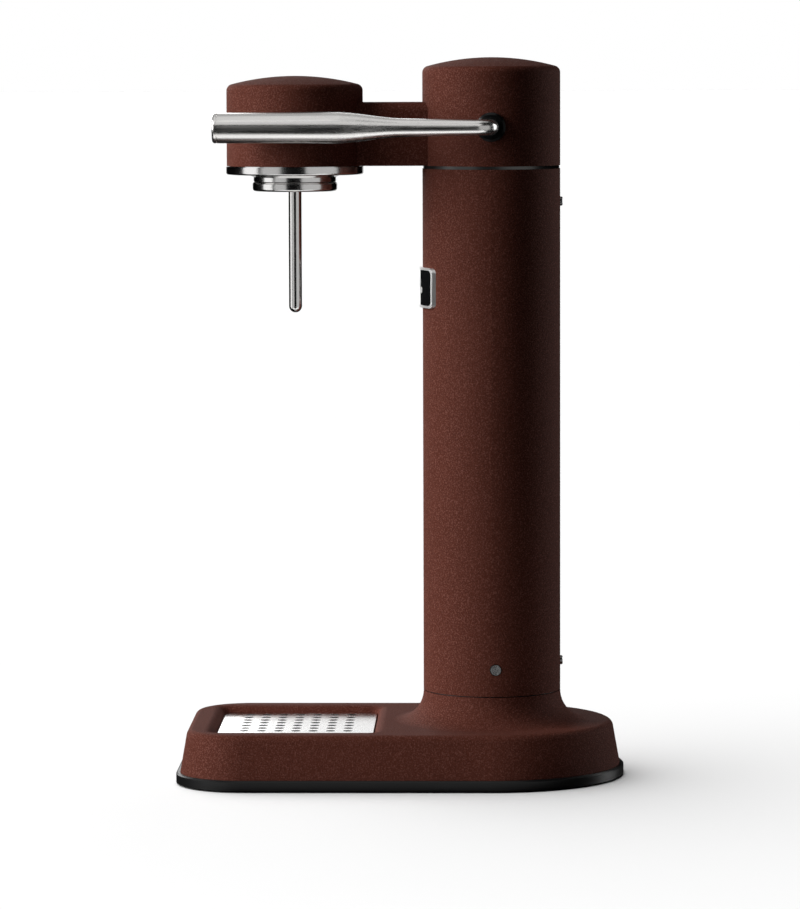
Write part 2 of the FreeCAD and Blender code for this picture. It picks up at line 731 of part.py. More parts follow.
def make_arm_bridge():
    arm = block(-ARM_HALF_WIDTH, ARM_HALF_WIDTH, head_y + HEAD_R / 2, column_y - COLUMN_R / 2,
                head_z, head_z + ARM_HEIGHT)
    arm = rounded(arm, ARM_EDGE_R, along_y_at(head_z + ARM_HEIGHT))
    arm = rounded(arm, ARM_FOOT_R, along_y_at(head_z))
    inner_half = ARM_HALF_WIDTH - ARM_WALL
    inside = block(-inner_half, inner_half, head_y, column_y, frame_z, head_z + ARM_HEIGHT - ARM_WALL)
    inside = rounded(inside, ARM_EDGE_R - ARM_WALL, along_y_at(head_z + ARM_HEIGHT - ARM_WALL))
    arm = arm.cut(inside)
    arm = arm.cut(post(COLUMN_R + FIT, 0, column_y, head_z - PAST, rear_cap_rim))
    arm = arm.cut(post(HEAD_R + FIT, 0, head_y, head_z - PAST, rear_cap_rim))
    for y in arm_screw_places():
        arm = arm.cut(flat_screw_hole(Vec(0, y, head_z), UP, ARM_WALL + PAST))
    return arm


def make_arm_screws():
    length = ARM_WALL + FRAME_THICK - SCREW_SHORT
    return Part.Compound([flat_screw(Vec(0, y, head_z), UP, length) for y in arm_screw_places()])


def cap_screw_places():
    rear = [polar(rear_post_pitch_r, angle, column_y) for angle in REAR_POST_ANGLES]
    front = [polar(front_post_pitch_r, angle, head_y) for angle in FRONT_POST_ANGLES]
    return rear + front


def make_cap_screws():
    length = 2 * (FRAME_THICK - SCREW_SHORT)
    return Part.Compound([flat_screw(Vec(x, y, frame_z), UP, length) for x, y in cap_screw_places()])


def block_screw_places():
    return [polar(BLOCK_SCREW_PITCH_R, angle, column_y) for angle in (45, 135, 225, 315)]


def bearing_screw_places():
    x = BEARING_X + BEARING_THICK / 2
    return [(side * x, column_y + end * BEARING_SCREW_Y) for side in (-1, 1) for end in (-1, 1)]


def collar_screw_places():
    pitch_r = (SOCKET_R + COLLAR_SPIGOT_R) / 2
    return [polar(pitch_r, angle, head_y) for angle in (0, 120, 240)]


def make_head_frame():
    seam_inner = COLUMN_R - SEAM_INSET - SEAM_WALL - FIT
    spigot_inner = seam_inner - SPIGOT_WALL
    spigot = ring(ring_r, spigot_inner, column_y, COLUMN_TOP - SPIGOT_DEPTH, COLUMN_TOP - FIT)
    neck = ring(seam_inner, spigot_inner, column_y, COLUMN_TOP - FIT, frame_z)
    rear_plate = post(seam_inner, 0, column_y, frame_z, frame_top)
    front_plate = post(DISH_R, 0, head_y, frame_z, frame_top)
    beam = block(-FRAME_BEAM_HALF_WIDTH, FRAME_BEAM_HALF_WIDTH, head_y, column_y, frame_z, frame_top)
    frame = spigot.fuse([neck, rear_plate, front_plate, beam]).removeSplitter()
    frame = frame.cut(post(BLOCK_R + FIT, 0, column_y, frame_z - PAST, frame_top + PAST))
    frame = frame.cut(post(HOLDER_R + FIT, 0, head_y, frame_z - PAST, frame_top + PAST))
    frame = frame.cut(rod(M3_R + SHAFT_FIT, Vec(0, column_y, rear_screw_heights()[1]), BACK, COLUMN_R))
    for x, y in cap_screw_places():
        frame = frame.cut(flat_screw_hole(Vec(x, y, frame_z), UP, FRAME_THICK + PAST))
    for x, y in block_screw_places() + bearing_screw_places() + collar_screw_places():
        frame = frame.cut(post(M3_R + SHAFT_FIT, x, y, frame_z - PAST, frame_top + PAST))
    for y in arm_screw_places():
        frame = frame.cut(post(M3_R + SHAFT_FIT, 0, y, frame_z - PAST, frame_top + PAST))
    return frame


def make_trim_ring():
    low = head_z - TRIM_DROP
    inner = HEAD_R - TRIM_INSET
    top = head_z - TRIM_GAP
    outer = HEAD_R + TRIM_PROUD
    band = ring(outer, inner, head_y, low, top)
    band = rounded(band, TRIM_EDGE_R, lambda box: level_at(low)(box) and box.XMax > outer - FIT)
    spigot = ring(HEAD_R - CAP_WALL - FIT, inner, head_y, top, head_z + TRIM_SPIGOT_RISE)
    ring_solid = band.fuse(spigot)
    door = block(-FRAME_BEAM_HALF_WIDTH - FIT, FRAME_BEAM_HALF_WIDTH + FIT, head_y, head_y + HEAD_R + PAST,
                 head_z, frame_top)
    return ring_solid.cut(door)


def make_underside_dish():
    edge_z = head_z - DISH_EDGE_DROP
    neck_z = head_z - DISH_NECK_DROP
    low_z = head_z - COLLAR_TOP_DROP + FIT
    inner = COLLAR_SPIGOT_R + FIT
    y = head_y
    middle_r = (DISH_R + DISH_NECK_R) / 2
    rim_inner = DISH_R - DISH_WALL
    start = Vec(DISH_R, y, edge_z)
    neck = Vec(DISH_NECK_R, y, neck_z)
    face = arc(start, Vec(middle_r, y, (edge_z + neck_z) / 2 + DISH_SAG), neck)
    back = Part.makePolygon([neck, Vec(DISH_NECK_R, y, low_z), Vec(inner, y, low_z), Vec(inner, y, frame_z),
                             Vec(DISH_NECK_R, y, frame_z), Vec(DISH_NECK_R, y, neck_z + 2 * DISH_WALL),
                             Vec(rim_inner, y, edge_z + DISH_WALL), Vec(rim_inner, y, frame_z),
                             Vec(DISH_R, y, frame_z), start])
    profile = Part.Wire([face] + back.Edges)
    return Part.Face(profile).revolve(Vec(0, y, 0), UP, 360)


def make_bottle_collar():
    top = head_z - COLLAR_TOP_DROP
    low = head_z - COLLAR_DROP
    bead = post(COLLAR_R, 0, head_y, low, top)
    bead = rounded(bead, COLLAR_EDGE_R, lambda box: level_at(low)(box) or level_at(top)(box))
    collar = bead.fuse(post(COLLAR_SPIGOT_R, 0, head_y, low + COLLAR_EDGE_R, frame_z))
    collar = collar.cut(post(SOCKET_R, 0, head_y, low - PAST, frame_z + PAST))
    root = SOCKET_R + THREAD_ROOT
    crest = SOCKET_R - THREAD_DEPTH
    for turn in range(THREAD_TURNS):
        z = low + THREAD_START + turn * THREAD_PITCH
        thread = lathe([(root, z), (crest, z + THREAD_FLANK), (crest, z + 2 * THREAD_FLANK),
                        (root, z + 3 * THREAD_FLANK)], head_y)
        collar = collar.fuse(thread)
    for x, y in collar_screw_places():
        collar = collar.cut(post(COLLAR_SCREW_R + SHAFT_FIT, x, y, frame_z - COLLAR_SCREW_DEPTH,
                                 frame_z + PAST))
    return collar


def make_collar_screws():
    return Part.Compound([cap_screw(Vec(x, y, frame_top), DOWN, FRAME_THICK + COLLAR_SCREW_GRIP,
                                    shank_r=COLLAR_SCREW_R) for x, y in collar_screw_places()])


def make_bottle_seal():
    return ring(SOCKET_R - FIT, HOLDER_R + FIT, head_y, frame_z - SEAL_THICK, frame_z)


# ---- nozzle and relief valve ----
def make_nozzle_tube():
    centre = Vec(0, head_y, nozzle_tip_z + NOZZLE_R)
    top = frame_top
    tube = post(NOZZLE_R, 0, head_y, centre.z, top).fuse(Part.makeSphere(NOZZLE_R, centre)).removeSplitter()
    orifice_z = nozzle_tip_z + ORIFICE_RISE
    tube = tube.cut(post(NOZZLE_BORE_R, 0, head_y, orifice_z, top + PAST))
    return tube.cut(rod(ORIFICE_R, Vec(0, head_y, orifice_z + ORIFICE_R), RIGHT, NOZZLE_R + PAST))


def make_nozzle_holder():
    low = frame_z - HOLDER_DROP
    body = post(HOLDER_R, 0, head_y, low, frame_top)
    flange = post(HOLDER_FLANGE_R, 0, head_y, frame_top, frame_top + HOLDER_FLANGE_THICK)
    upper = post(HOLDER_TOP_R, 0, head_y, frame_top, holder_top)
    boss = block(-OUTLET_HALF_WIDTH, OUTLET_HALF_WIDTH, head_y, holder_port_y,
                 frame_top, frame_top + OUTLET_HEIGHT)
    holder = body.fuse([flange, upper, boss]).removeSplitter()
    holder = holder.cut(post(NOZZLE_R + SHAFT_FIT, 0, head_y, low - PAST, frame_top))
    groove_r = NOZZLE_R + 2 * ORING_WIRE_R + FIT
    holder = holder.cut(post(groove_r, 0, head_y, low - PAST, low + 2 * ORING_WIRE_R))
    holder = holder.cut(post(GAS_BORE_R, 0, head_y, frame_top - PAST, holder_top + PAST))
    return holder.cut(rod(GAS_BORE_R, Vec(0, head_y, hose_z), BACK, HOLDER_TOP_R + OUTLET_DEPTH))


def make_nozzle_seal():
    z = frame_z - HOLDER_DROP + ORING_WIRE_R
    return Part.makeTorus(NOZZLE_R + ORING_WIRE_R + SHAFT_FIT, ORING_WIRE_R, Vec(0, head_y, z), UP)


def make_relief_valve_body():
    top = holder_top + RELIEF_HEIGHT
    body = post(RELIEF_R, 0, head_y, holder_top, top)
    body = body.cut(post(RELIEF_BORE_R, 0, head_y, holder_top + RELIEF_SEAT, top + PAST))
    body = body.cut(post(RELIEF_SEAT_R, 0, head_y, holder_top - PAST, top))
    vent_z = holder_top + RELIEF_SEAT + POPPET_HEAD + RELIEF_VENT_RISE
    return body.cut(rod(ORIFICE_R, Vec(0, head_y, vent_z), RIGHT, RELIEF_R + PAST))


def make_relief_poppet():
    seat = holder_top + RELIEF_SEAT
    head = post(RELIEF_BORE_R - FIT, 0, head_y, seat, seat + POPPET_HEAD)
    return head.fuse(post(POPPET_STEM_R, 0, head_y, seat, seat + POPPET_HEAD + POPPET_STEM))


def make_relief_spring():
    low = holder_top + RELIEF_SEAT + POPPET_HEAD + RELIEF_WIRE_R + FIT
    high = holder_top + RELIEF_HEIGHT - RELIEF_CAP_THICK - RELIEF_WIRE_R - FIT
    height = high - low
    return coil(RELIEF_SPRING_R, RELIEF_WIRE_R, height / RELIEF_TURNS, height, Vec(0, head_y, low), UP)


def make_relief_cap():
    top = holder_top + RELIEF_HEIGHT
    plug = ring(RELIEF_BORE_R - SHAFT_FIT, POPPET_STEM_R + LOOSE_FIT, head_y, top - RELIEF_CAP_THICK, top)
    brim = ring(RELIEF_R, POPPET_STEM_R + LOOSE_FIT, head_y, top, top + RELIEF_BRIM)
    return plug.fuse(brim)


# ---- gas ----
def bottle_solid(radius, neck_r, bottom, foot_r, neck_z, top):
    """Gas bottle with a round foot edge and a quarter-round shoulder, turned about the column's axis."""
    y = column_y
    reach = radius - neck_r
    foot_lean = foot_r * (1 - math.sqrt(0.5))
    shoulder_lean = reach * math.sqrt(0.5)
    foot_start = Vec(radius - foot_r, y, bottom)
    foot_end = Vec(radius, y, bottom + foot_r)
    shoulder = Vec(radius, y, neck_z - reach)
    neck = Vec(neck_r, y, neck_z)
    mouth = Vec(neck_r, y, top)
    profile = Part.Wire([line(Vec(0, y, bottom), foot_start),
                         arc(foot_start, Vec(radius - foot_lean, y, bottom + foot_lean), foot_end),
                         line(foot_end, shoulder),
                         arc(shoulder, Vec(neck_r + shoulder_lean, y, neck_z - reach + shoulder_lean), neck),
                         line(neck, mouth), line(mouth, Vec(0, y, top)),
                         line(Vec(0, y, top), Vec(0, y, bottom))])
    return Part.Face(profile).revolve(Vec(0, y, 0), UP, 360)


def make_gas_cylinder():
    neck_z = cylinder_top - CYLINDER_NECK
    outside = bottle_solid(CYLINDER_R, CYLINDER_NECK_R, CYLINDER_BOTTOM, CYLINDER_FOOT_R,
                           neck_z, cylinder_top)
    inside = bottle_solid(CYLINDER_R - CYLINDER_WALL, VALVE_ROOT_R + SHAFT_FIT,
                          CYLINDER_BOTTOM + 2 * CYLINDER_WALL, CYLINDER_FOOT_R - CYLINDER_WALL,
                          neck_z - CYLINDER_WALL, cylinder_top)
    return outside.cut(inside)


def make_cylinder_valve():
    thread = post(VALVE_THREAD_R, 0, column_y, valve_shoulder_z, valve_top)
    shoulder = post(CYLINDER_NECK_R, 0, column_y, cylinder_top, valve_shoulder_z)
    root = post(VALVE_ROOT_R, 0, column_y, cylinder_top - VALVE_ROOT, cylinder_top)
    valve = thread.fuse([shoulder, root]).removeSplitter()
    valve = valve.cut(post(VALVE_RECESS_R, 0, column_y, valve_top - VALVE_RECESS, valve_top + PAST))
    low = valve_top - VALVE_RECESS - VALVE_BORE
    valve = valve.cut(post(VALVE_BORE_R, 0, column_y, low, valve_top))
    return valve.cut(post(GAS_BORE_R, 0, column_y, cylinder_top - VALVE_ROOT - PAST, low + PAST))


def make_cylinder_valve_pin():
    top = valve_top - VALVE_PIN_SUNK
    return post(VALVE_BORE_R - SHAFT_FIT, 0, column_y, top - VALVE_PIN, top)


def make_valve_seal():
    return ring(VALVE_THREAD_R - FIT, VALVE_RECESS_R, column_y, valve_top, seal_z)


def make_valve_block():
    body = post(BLOCK_R, 0, column_y, frame_z - BLOCK_DROP, frame_top)
    flange = post(BLOCK_FLANGE_R, 0, column_y, frame_top, block_top)
    outlet = block(-OUTLET_HALF_WIDTH, OUTLET_HALF_WIDTH, outlet_y, outlet_y + OUTLET_DEPTH,
                   frame_top, frame_top + OUTLET_HEIGHT)
    body = body.fuse([flange, outlet]).removeSplitter()
    body = body.cut(post(VALVE_THREAD_R + SHAFT_FIT, 0, column_y, frame_z - BLOCK_DROP - PAST, seal_z))
    body = body.cut(post(PIN_R + SHAFT_FIT, 0, column_y, seal_z - PAST, block_top + PAST))
    body = body.cut(post(PIN_SPRING_POCKET_R, 0, column_y, block_top - PIN_SPRING_POCKET, block_top + PAST))
    drilled_y = outlet_y + OUTLET_DEPTH / 2
    body = body.cut(rod(GAS_BORE_R, Vec(0, outlet_y - PAST, hose_z), BACK, OUTLET_DEPTH / 2 + PAST))
    body = body.cut(rod(GAS_BORE_R, Vec(0, drilled_y, hose_z), DOWN, hose_z - seal_z - GAS_BORE_R))
    body = body.cut(rod(GAS_BORE_R / 2, Vec(0, drilled_y, seal_z + GAS_BORE_R), BACK, column_y - drilled_y))
    for x, y in block_screw_places():
        body = body.cut(post(M3_R + FIT, x, y, frame_z, block_top + PAST))
    return body


def make_block_screws():
    return Part.Compound([cap_screw(Vec(x, y, block_top), DOWN, block_top - frame_z - SCREW_SHORT)
                          for x, y in block_screw_places()])


def make_actuator_pin():
    head = post(PIN_HEAD_R, 0, column_y, pin_top - PIN_HEAD, pin_top)
    return head.fuse(post(PIN_R, 0, column_y, pin_bottom, pin_top))


def make_actuator_spring():
    low = block_top - PIN_SPRING_POCKET + PIN_WIRE_R + FIT
    height = pin_top - PIN_HEAD - PIN_WIRE_R - FIT - low
    return coil(PIN_SPRING_R, PIN_WIRE_R, height / PIN_SPRING_TURNS, height, Vec(0, column_y, low), UP)


def hose_ends():
    return Vec(0, outlet_y, hose_z), Vec(0, holder_port_y, hose_z)


def make_hose_fittings():
    rear, front = hose_ends()
    fittings = []
    for place, direction in ((rear, Vec(0, -1, 0)), (front, Vec(0, 1, 0))):
        nut = hexagon(FITTING_ACROSS, FITTING_LENGTH)
        nut.Placement = FreeCAD.Placement(place, FreeCAD.Rotation(UP, direction))
        fittings.append(nut.cut(rod(HOSE_R + SHAFT_FIT, place, direction, FITTING_LENGTH)))
    return Part.Compound(fittings)


def make_gas_hose():
    rear, front = hose_ends()
    length = rear.y - front.y - 2 * FIT
    start = Vec(0, front.y + FIT, hose_z)
    return rod(HOSE_R, start, BACK, length).cut(rod(HOSE_BORE_R, start, BACK, length))


# ---- lever ----
def circlip_x():
    return -BEARING_X - BEARING_THICK - FIT


def make_lever_arm():
    """Turned bar, a quarter bend inwards and the shaft that runs through the column's cap."""
    def station(distance, radius):
        return Vec(lever_x + radius, column_y - distance, lever_z)

    front = LEVER_FRONT_REACH - LEVER_CAP - LEVER_CAP_GROOVE
    third = (LEVER_GRIP_END - LEVER_WAIST) / 3
    neck = Part.BezierCurve()
    neck.setPoles([station(LEVER_GRIP_END, LEVER_GRIP_R), station(LEVER_GRIP_END - third, LEVER_GRIP_R),
                   station(LEVER_WAIST + third, LEVER_WAIST_R), station(LEVER_WAIST, LEVER_WAIST_R)])
    profile = Part.Wire([line(station(front, 0), station(front, LEVER_FRONT_R)),
                         line(station(front, LEVER_FRONT_R), station(LEVER_GRIP_END, LEVER_GRIP_R)),
                         neck.toShape(),
                         line(station(LEVER_WAIST, LEVER_WAIST_R), station(LEVER_BEND_R, SHAFT_R)),
                         line(station(LEVER_BEND_R, SHAFT_R), station(LEVER_BEND_R, 0)),
                         line(station(LEVER_BEND_R, 0), station(front, 0))])
    bar = Part.Face(profile).revolve(station(front, 0), BACK, 360)
    section = Part.Face(Part.Wire(Part.makeCircle(SHAFT_R, station(LEVER_BEND_R, 0), BACK)))
    shaft_start = lever_x - LEVER_BEND_R
    bend = section.revolve(Vec(shaft_start, column_y - LEVER_BEND_R, lever_z), UP, 90)
    shaft = rod(SHAFT_R, Vec(shaft_end_x, column_y, lever_z), RIGHT, shaft_start - shaft_end_x)
    groove_start = Vec(circlip_x(), column_y, lever_z)
    groove = rod(SHAFT_R + PAST, groove_start, LEFT, CIRCLIP_THICK + FIT)
    groove = groove.cut(rod(SHAFT_GROOVE_R, groove_start, LEFT, CIRCLIP_THICK + FIT))
    return bar.fuse([bend, shaft]).removeSplitter().cut(groove)


def make_lever_end_cap():
    front = column_y - LEVER_FRONT_REACH
    cap = rod(LEVER_FRONT_R, Vec(lever_x, front, lever_z), BACK, LEVER_CAP)
    cap = rounded(cap, LEVER_EDGE_R, lambda box: box.YMax < front + SAME)
    spigot = rod(LEVER_CAP_SPIGOT_R, Vec(lever_x, front + LEVER_CAP, lever_z), BACK, LEVER_CAP_GROOVE)
    return cap.fuse(spigot).removeSplitter()


def make_pivot_bush():
    seat = COLUMN_R + SHAFT_FIT
    flange = rod(BUSH_R, Vec(COLUMN_R / 2, column_y, lever_z), RIGHT, bush_face_x - COLUMN_R / 2)
    flange = flange.makeChamfer(BUSH_BEVEL, [e for e in flange.Edges if e.BoundBox.XMin > bush_face_x - SAME])
    flange = flange.cut(post(seat, 0, column_y, head_z, rear_cap_rim))
    barrel = rod(BUSH_BARREL_R, Vec(bush_face_x - BUSH_DEPTH, column_y, lever_z), RIGHT,
                 BUSH_DEPTH - BUSH_BEVEL)
    bore = rod(SHAFT_R + SHAFT_FIT, Vec(0, column_y, lever_z), RIGHT, bush_face_x + PAST)
    return flange.fuse(barrel).cut(bore)


def stop_places():
    """Middle of each stop pin; the dog stands up at rest and leans forwards by the lever's travel."""
    reach = DOG_HALF_WIDTH + STOP_PIN_R + CAM_GAP
    half = math.degrees(math.asin(reach / STOP_PITCH_R))
    return [polar(STOP_PITCH_R, angle, 0) for angle in (90 - half, 90 + LEVER_TRAVEL + half)]


def make_bearing_blocks():
    blocks = []
    for side in (-1, 1):
        low = min(side * BEARING_X, side * (BEARING_X + BEARING_THICK))
        high = low + BEARING_THICK
        reach = STOP_PITCH_R + 2 * STOP_PIN_R if side > 0 else BEARING_HALF_WIDTH
        upright = block(low, high, column_y - BEARING_HALF_WIDTH, column_y + BEARING_HALF_WIDTH,
                        frame_top, lever_z)
        crown = rod(reach, Vec(low, column_y, lever_z), RIGHT, BEARING_THICK)
        foot = block(low, high, column_y - BEARING_FOOT_HALF, column_y + BEARING_FOOT_HALF,
                     frame_top, frame_top + BEARING_FOOT_THICK)
        support = upright.fuse([crown, foot]).removeSplitter()
        reach_y = 2 * BEARING_FOOT_HALF
        above_frame = block(low, high, column_y - reach_y, column_y + reach_y, frame_top, rear_cap_rim)
        support = support.common(above_frame)
        bore = rod(SHAFT_R + SHAFT_FIT, Vec(low - PAST, column_y, lever_z), RIGHT, BEARING_THICK + 2 * PAST)
        support = support.cut(bore)
        blocks.append(support)
    for y, z in stop_places():
        pin_hole = rod(STOP_PIN_R + SHAFT_FIT, Vec(0, column_y + y, lever_z + z), RIGHT, COLUMN_R)
        blocks[1] = blocks[1].cut(pin_hole)
    holes = [post(M3_R + FIT, x, y, frame_top - PAST, frame_top + BEARING_FOOT_THICK + PAST)
             for x, y in bearing_screw_places()]
    return Part.Compound([support.cut(Part.Compound(holes)) for support in blocks])


def make_bearing_screws():
    return Part.Compound([cap_screw(Vec(x, y, frame_top + BEARING_FOOT_THICK), DOWN,
                                    BEARING_FOOT_THICK + FRAME_THICK - SCREW_SHORT)
                          for x, y in bearing_screw_places()])


def make_stop_pins():
    start = CAM_HALF_THICK + STOP_PIN_OFFSET
    length = BEARING_X + BEARING_THICK - start
    return Part.Compound([rod(STOP_PIN_R, Vec(start, column_y + y, lever_z + z), RIGHT, length)
                          for y, z in stop_places()])


def cam_point(turn):
    """Cam flank whose lift grows in step with the lever's angle, for a flat-headed pin below the shaft."""
    reach = CAM_BASE_R + CAM_LIFT_PER_RADIAN * turn
    y = -reach * math.sin(turn) - CAM_LIFT_PER_RADIAN * math.cos(turn)
    z = -reach * math.cos(turn) + CAM_LIFT_PER_RADIAN * math.sin(turn)
    return y, z


def make_cam():
    last = math.radians(CAM_ACTIVE_ANGLE)

    def at(place):
        return Vec(-CAM_HALF_THICK, column_y + place[0], lever_z + place[1])

    flank_points = [cam_point(last * i / (CAM_POINTS - 1)) for i in range(CAM_POINTS)]
    flank = Part.BSplineCurve()
    flank.interpolate([at(p) for p in flank_points])
    nose = flank_points[-1]
    nose_angle = math.atan2(nose[1], nose[0]) % (2 * math.pi)
    touch_angle = nose_angle - math.acos(CAM_BASE_R / math.hypot(*nose))
    touch = (CAM_BASE_R * math.cos(touch_angle), CAM_BASE_R * math.sin(touch_angle))
    heel = (0, -CAM_BASE_R)
    back_angle = (touch_angle - math.pi / 2) / 2
    back = (CAM_BASE_R * math.cos(back_angle), CAM_BASE_R * math.sin(back_angle))
    outline = Part.Wire([line(at(heel), at(flank_points[0])), flank.toShape(), line(at(nose), at(touch)),
                         arc(at(touch), at(back), at(heel))])
    lobe = Part.Face(outline).extrude(Vec(2 * CAM_HALF_THICK, 0, 0))
    hub = rod(HUB_R, Vec(CAM_HALF_THICK, column_y, lever_z), RIGHT, HUB_LENGTH)
    dog = block(CAM_HALF_THICK + DOG_OFFSET, CAM_HALF_THICK + HUB_LENGTH,
                column_y - DOG_HALF_WIDTH, column_y + DOG_HALF_WIDTH, lever_z, lever_z + DOG_REACH)
    cam = lobe.fuse([hub, dog]).removeSplitter()
    cam = cam.cut(rod(SHAFT_R + SHAFT_FIT, Vec(-COLUMN_R, column_y, lever_z), RIGHT, 2 * COLUMN_R))
    screw_start = Vec(CAM_HALF_THICK + HUB_LENGTH / 2, column_y, lever_z)
    return cam.cut(rod(M3_R + SHAFT_FIT, screw_start, BACK, HUB_R + PAST))


def make_cam_set_screw():
    x = CAM_HALF_THICK + HUB_LENGTH / 2
    start = Vec(x, column_y + SHAFT_R + SHAFT_FIT, lever_z)
    return rod(M3_R, start, BACK, HUB_R - SHAFT_R + SET_SCREW_PROUD)


def make_shaft_circlip():
    x = circlip_x()
    clip = rod(CIRCLIP_R, Vec(x - FIT, column_y, lever_z), LEFT, CIRCLIP_THICK - FIT)
    clip = clip.cut(rod(SHAFT_GROOVE_R + SHAFT_FIT, Vec(x, column_y, lever_z), LEFT, CIRCLIP_THICK + PAST))
    mouth = block(x - 2 * CIRCLIP_THICK, x, column_y - CIRCLIP_MOUTH_HALF, column_y + CIRCLIP_MOUTH_HALF,
                  lever_z - CIRCLIP_R - PAST, lever_z)
    return clip.cut(mouth)


def make_return_spring():
    """Torsion spring's turns round the shaft, between a bearing and the cam."""
    start_x = -BEARING_X + RETURN_SPRING_OFFSET
    end_x = -CAM_HALF_THICK - RETURN_WIRE_R - CAM_GAP
    length = end_x - start_x
    start = Vec(start_x, column_y, lever_z)
    return coil(RETURN_SPRING_R, RETURN_WIRE_R, length / RETURN_TURNS, length, start, RIGHT)


BUILDERS = {
    "base_shell": make_base_shell, "base_skirt": make_base_skirt, "rubber_feet": make_rubber_feet,
    "base_screws": make_base_screws, "drip_pan": make_drip_pan, "drip_grille": make_drip_grille,
    "column_tube": make_column_tube, "neck_ring": make_neck_ring, "side_screws": make_side_screws,
    "rear_screws": make_rear_screws, "cylinder_guide": make_cylinder_guide, "seam_ring": make_seam_ring,
    "badge_frame": make_badge_frame, "badge_plate": make_badge_plate, "badge_motif": make_badge_motif,
    "rear_cap": make_rear_cap, "front_cap": make_front_cap, "arm_bridge": make_arm_bridge,
    "arm_screws": make_arm_screws, "cap_screws": make_cap_screws, "head_frame": make_head_frame,
    "trim_ring": make_trim_ring, "underside_dish": make_underside_dish, "bottle_collar": make_bottle_collar,
    "collar_screws": make_collar_screws, "bottle_seal": make_bottle_seal, "nozzle_tube": make_nozzle_tube,
    "nozzle_holder": make_nozzle_holder, "nozzle_seal": make_nozzle_seal,
    "relief_valve_body": make_relief_valve_body, "relief_poppet": make_relief_poppet,
    "relief_spring": make_relief_spring, "relief_cap": make_relief_cap, "gas_cylinder": make_gas_cylinder,
    "cylinder_valve": make_cylinder_valve, "cylinder_valve_pin": make_cylinder_valve_pin,
    "valve_seal": make_valve_seal, "valve_block": make_valve_block, "block_screws": make_block_screws,
    "actuator_pin": make_actuator_pin, "actuator_spring": make_actuator_spring,
    "hose_fittings": make_hose_fittings, "gas_hose": make_gas_hose, "lever_arm": make_lever_arm,
    "lever_end_cap": make_lever_end_cap, "pivot_bush": make_pivot_bush, "bearing_blocks": make_bearing_blocks,
    "bearing_screws": make_bearing_screws, "stop_pins": make_stop_pins, "cam": make_cam,
    "cam_set_screw": make_cam_set_screw, "shaft_circlip": make_shaft_circlip,
    "return_spring": make_return_spring,
}

os.makedirs("parts", exist_ok=True)
for name, make in BUILDERS.items():
    solid = make()
    solid.exportStep("parts/" + name + ".step")
    print(name, len(solid.Solids), round(solid.Volume), solid.isValid())
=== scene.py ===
import json
import math
import bpy
from mathutils import Matrix, Vector


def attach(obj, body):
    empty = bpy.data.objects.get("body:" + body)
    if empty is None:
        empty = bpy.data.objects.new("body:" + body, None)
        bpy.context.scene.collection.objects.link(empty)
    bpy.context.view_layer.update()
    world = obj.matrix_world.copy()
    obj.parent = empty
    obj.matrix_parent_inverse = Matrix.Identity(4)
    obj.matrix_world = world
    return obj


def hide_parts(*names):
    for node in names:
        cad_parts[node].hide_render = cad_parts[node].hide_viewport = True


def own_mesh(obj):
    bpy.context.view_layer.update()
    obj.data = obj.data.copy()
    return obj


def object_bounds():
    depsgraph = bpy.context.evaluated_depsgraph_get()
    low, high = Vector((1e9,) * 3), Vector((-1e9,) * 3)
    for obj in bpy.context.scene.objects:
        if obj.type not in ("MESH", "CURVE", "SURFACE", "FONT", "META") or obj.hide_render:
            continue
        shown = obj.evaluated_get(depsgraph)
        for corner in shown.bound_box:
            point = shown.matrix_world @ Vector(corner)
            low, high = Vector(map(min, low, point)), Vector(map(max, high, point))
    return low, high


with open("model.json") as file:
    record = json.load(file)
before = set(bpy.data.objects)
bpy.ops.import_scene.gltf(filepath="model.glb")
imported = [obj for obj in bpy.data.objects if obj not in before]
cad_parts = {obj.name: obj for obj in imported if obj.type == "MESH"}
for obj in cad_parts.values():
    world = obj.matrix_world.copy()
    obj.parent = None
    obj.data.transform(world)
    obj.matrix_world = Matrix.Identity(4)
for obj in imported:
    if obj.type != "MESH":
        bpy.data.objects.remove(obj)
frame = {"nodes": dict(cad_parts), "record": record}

cad_low, cad_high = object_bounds()

# ---- places read from the frame, in metres ----
FLOOR_Z = cad_low[2]
CENTRE = Vector((0.0, 0.0, (cad_high[2] - cad_low[2]) / 2))

# ---- shader helpers ----
# A noise's values lie mostly between these two.
NOISE_LOW, NOISE_HIGH = 0.3, 0.7


